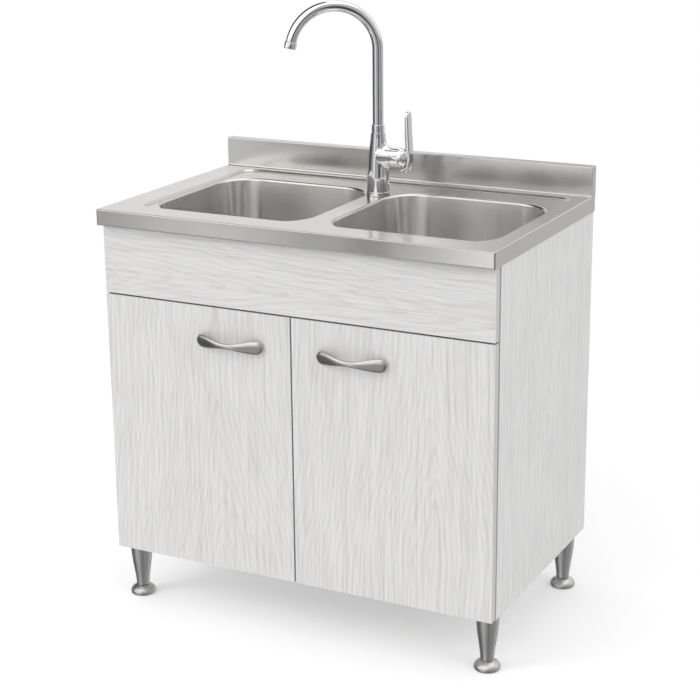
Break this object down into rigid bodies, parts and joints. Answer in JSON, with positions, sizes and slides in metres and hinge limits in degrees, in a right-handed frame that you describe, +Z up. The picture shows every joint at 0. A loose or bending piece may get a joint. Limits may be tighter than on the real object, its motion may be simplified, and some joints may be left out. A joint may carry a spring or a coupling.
{
  "type": "kitchen sink unit",
  "caption": "Base cabinet with hinged doors on adjustable feet, under a lay-on steel sink with pressed bowls, an upstand and a swivelling single-lever tap.",
  "frame": {"origin": "on the floor, under the middle of the box round the unit", "axes": "+Z up, +X to the right seen from the front, +Y towards the wall"},
  "size_m": [0.8, 0.51, 1.1609],
  "materials": {
    "melamine": "pale grey ash print on melamine-faced board, satin, vertical grain",
    "hardboard": "thin painted board",
    "stainless_steel": "satin stainless steel sheet",
    "polished_chrome": "mirror chrome plate",
    "satin_nickel": "satin nickel plate",
    "leg_metal": "brushed, darker metal",
    "zinc_steel": "nickel-plated pressed steel",
    "white_plastic": "white moulded plastic",
    "brass": "plain turned brass"
  },
  "bodies": {
    "cabinet": {"side_panel_left": "melamine", "hinge_arm_left_lower": "zinc_steel", "hinge_arm_left_upper": "zinc_steel", "bowl_left": "stainless_steel", "drain_flange_left": "stainless_steel", "waste_body_left": "white_plastic", "waste_bend_left": "white_plastic", "side_panel_right": "melamine", "hinge_arm_right_lower": "zinc_steel", "hinge_arm_right_upper": "zinc_steel", "bowl_right": "stainless_steel", "drain_flange_right": "stainless_steel", "waste_body_right": "white_plastic", "waste_bend_right": "white_plastic", "bottom_panel": "melamine", "front_rail": "melamine", "rear_rail": "melamine", "apron_panel": "melamine", "back_panel": "hardboard", "sink_deck": "stainless_steel", "backsplash": "stainless_steel", "leg_front_left": "leg_metal", "leg_front_right": "leg_metal", "leg_rear_left": "leg_metal", "leg_rear_right": "leg_metal", "waste_tee": "white_plastic", "bottle_trap": "white_plastic", "wall_outlet": "white_plastic", "cartridge": "white_plastic", "tap_ring": "polished_chrome", "tap_body": "polished_chrome", "cartridge_nut": "polished_chrome", "tap_nut": "brass"},
    "door_left": {"door_left": "melamine", "handle_left": "satin_nickel", "handle_screw_left_1": "zinc_steel", "handle_screw_left_2": "zinc_steel", "hinge_cup_left_lower": "zinc_steel", "hinge_cup_left_upper": "zinc_steel"},
    "hinge_link_left_lower": {"hinge_link_left_lower": "zinc_steel"},
    "hinge_link_left_upper": {"hinge_link_left_upper": "zinc_steel"},
    "strainer_left": {"strainer_basket_left": "stainless_steel"},
    "door_right": {"door_right": "melamine", "handle_right": "satin_nickel", "handle_screw_right_1": "zinc_steel", "handle_screw_right_2": "zinc_steel", "hinge_cup_right_lower": "zinc_steel", "hinge_cup_right_upper": "zinc_steel"},
    "hinge_link_right_lower": {"hinge_link_right_lower": "zinc_steel"},
    "hinge_link_right_upper": {"hinge_link_right_upper": "zinc_steel"},
    "strainer_right": {"strainer_basket_right": "stainless_steel"},
    "foot_front_left": {"foot_front_left": "leg_metal"},
    "foot_front_right": {"foot_front_right": "leg_metal"},
    "foot_rear_left": {"foot_rear_left": "leg_metal"},
    "foot_rear_right": {"foot_rear_right": "leg_metal"},
    "spout": {"spout": "polished_chrome", "spout_collar": "polished_chrome", "aerator": "polished_chrome"},
    "lever_swing": {"cartridge_spindle": "brass"},
    "lever": {"lever": "polished_chrome"}
  },
  "joints": [
    {"name": "door_left_hinge", "type": "hinge", "parent": "cabinet", "child": "door_left", "pos_m": [-0.3911, -0.221, 0.3685], "axis": [0, 0, -1], "range_deg": [0, 95]},
    {"name": "hinge_link_left_lower_turn", "type": "hinge", "parent": "door_left", "child": "hinge_link_left_lower", "pos_m": [-0.375, -0.214, 0.2005], "axis": [0, 0, -1], "range_deg": [-70, 0]},
    {"name": "hinge_link_left_upper_turn", "type": "hinge", "parent": "door_left", "child": "hinge_link_left_upper", "pos_m": [-0.375, -0.214, 0.5365], "axis": [0, 0, -1], "range_deg": [-70, 0]},
    {"name": "strainer_left_lift", "type": "slide", "parent": "cabinet", "child": "strainer_left", "axis": [0, 0, 1], "range_m": [0, 0.02]},
    {"name": "door_right_hinge", "type": "hinge", "parent": "cabinet", "child": "door_right", "pos_m": [0.3911, -0.221, 0.3685], "axis": [0, 0, 1], "range_deg": [0, 95]},
    {"name": "hinge_link_right_lower_turn", "type": "hinge", "parent": "door_right", "child": "hinge_link_right_lower", "pos_m": [0.375, -0.214, 0.2005], "axis": [0, 0, 1], "range_deg": [-70, 0]},
    {"name": "hinge_link_right_upper_turn", "type": "hinge", "parent": "door_right", "child": "hinge_link_right_upper", "pos_m": [0.375, -0.214, 0.5365], "axis": [0, 0, 1], "range_deg": [-70, 0]},
    {"name": "strainer_right_lift", "type": "slide", "parent": "cabinet", "child": "strainer_right", "axis": [0, 0, 1], "range_m": [0, 0.02]},
    {"name": "foot_front_left_screw", "type": "slide", "parent": "cabinet", "child": "foot_front_left", "axis": [0, 0, -1], "range_m": [0, 0.015]},
    {"name": "foot_front_right_screw", "type": "slide", "parent": "cabinet", "child": "foot_front_right", "axis": [0, 0, -1], "range_m": [0, 0.015]},
    {"name": "foot_rear_left_screw", "type": "slide", "parent": "cabinet", "child": "foot_rear_left", "axis": [0, 0, -1], "range_m": [0, 0.015]},
    {"name": "foot_rear_right_screw", "type": "slide", "parent": "cabinet", "child": "foot_rear_right", "axis": [0, 0, -1], "range_m": [0, 0.015]},
    {"name": "spout_swivel", "type": "hinge", "parent": "cabinet", "child": "spout", "pos_m": [0.014, 0.104, 1], "axis": [0, 0, 1], "range_deg": [-36, 144]},
    {"name": "lever_temperature", "type": "hinge", "parent": "cabinet", "child": "lever_swing", "pos_m": [0.06, 0.104, 0.8645], "axis": [1, 0, 0], "range_deg": [-45, 45]},
    {"name": "lever_flow", "type": "hinge", "parent": "lever_swing", "child": "lever", "pos_m": [0.06, 0.104, 0.8645], "axis": [0, 1, 0], "range_deg": [0, 25]}
  ],
  "couplings": [
    {"joint": "hinge_link_left_lower_turn", "follows": "door_left_hinge", "ratio": -0.7},
    {"joint": "hinge_link_left_upper_turn", "follows": "door_left_hinge", "ratio": -0.7},
    {"joint": "hinge_link_right_lower_turn", "follows": "door_right_hinge", "ratio": -0.7},
    {"joint": "hinge_link_right_upper_turn", "follows": "door_right_hinge", "ratio": -0.7}
  ]
}
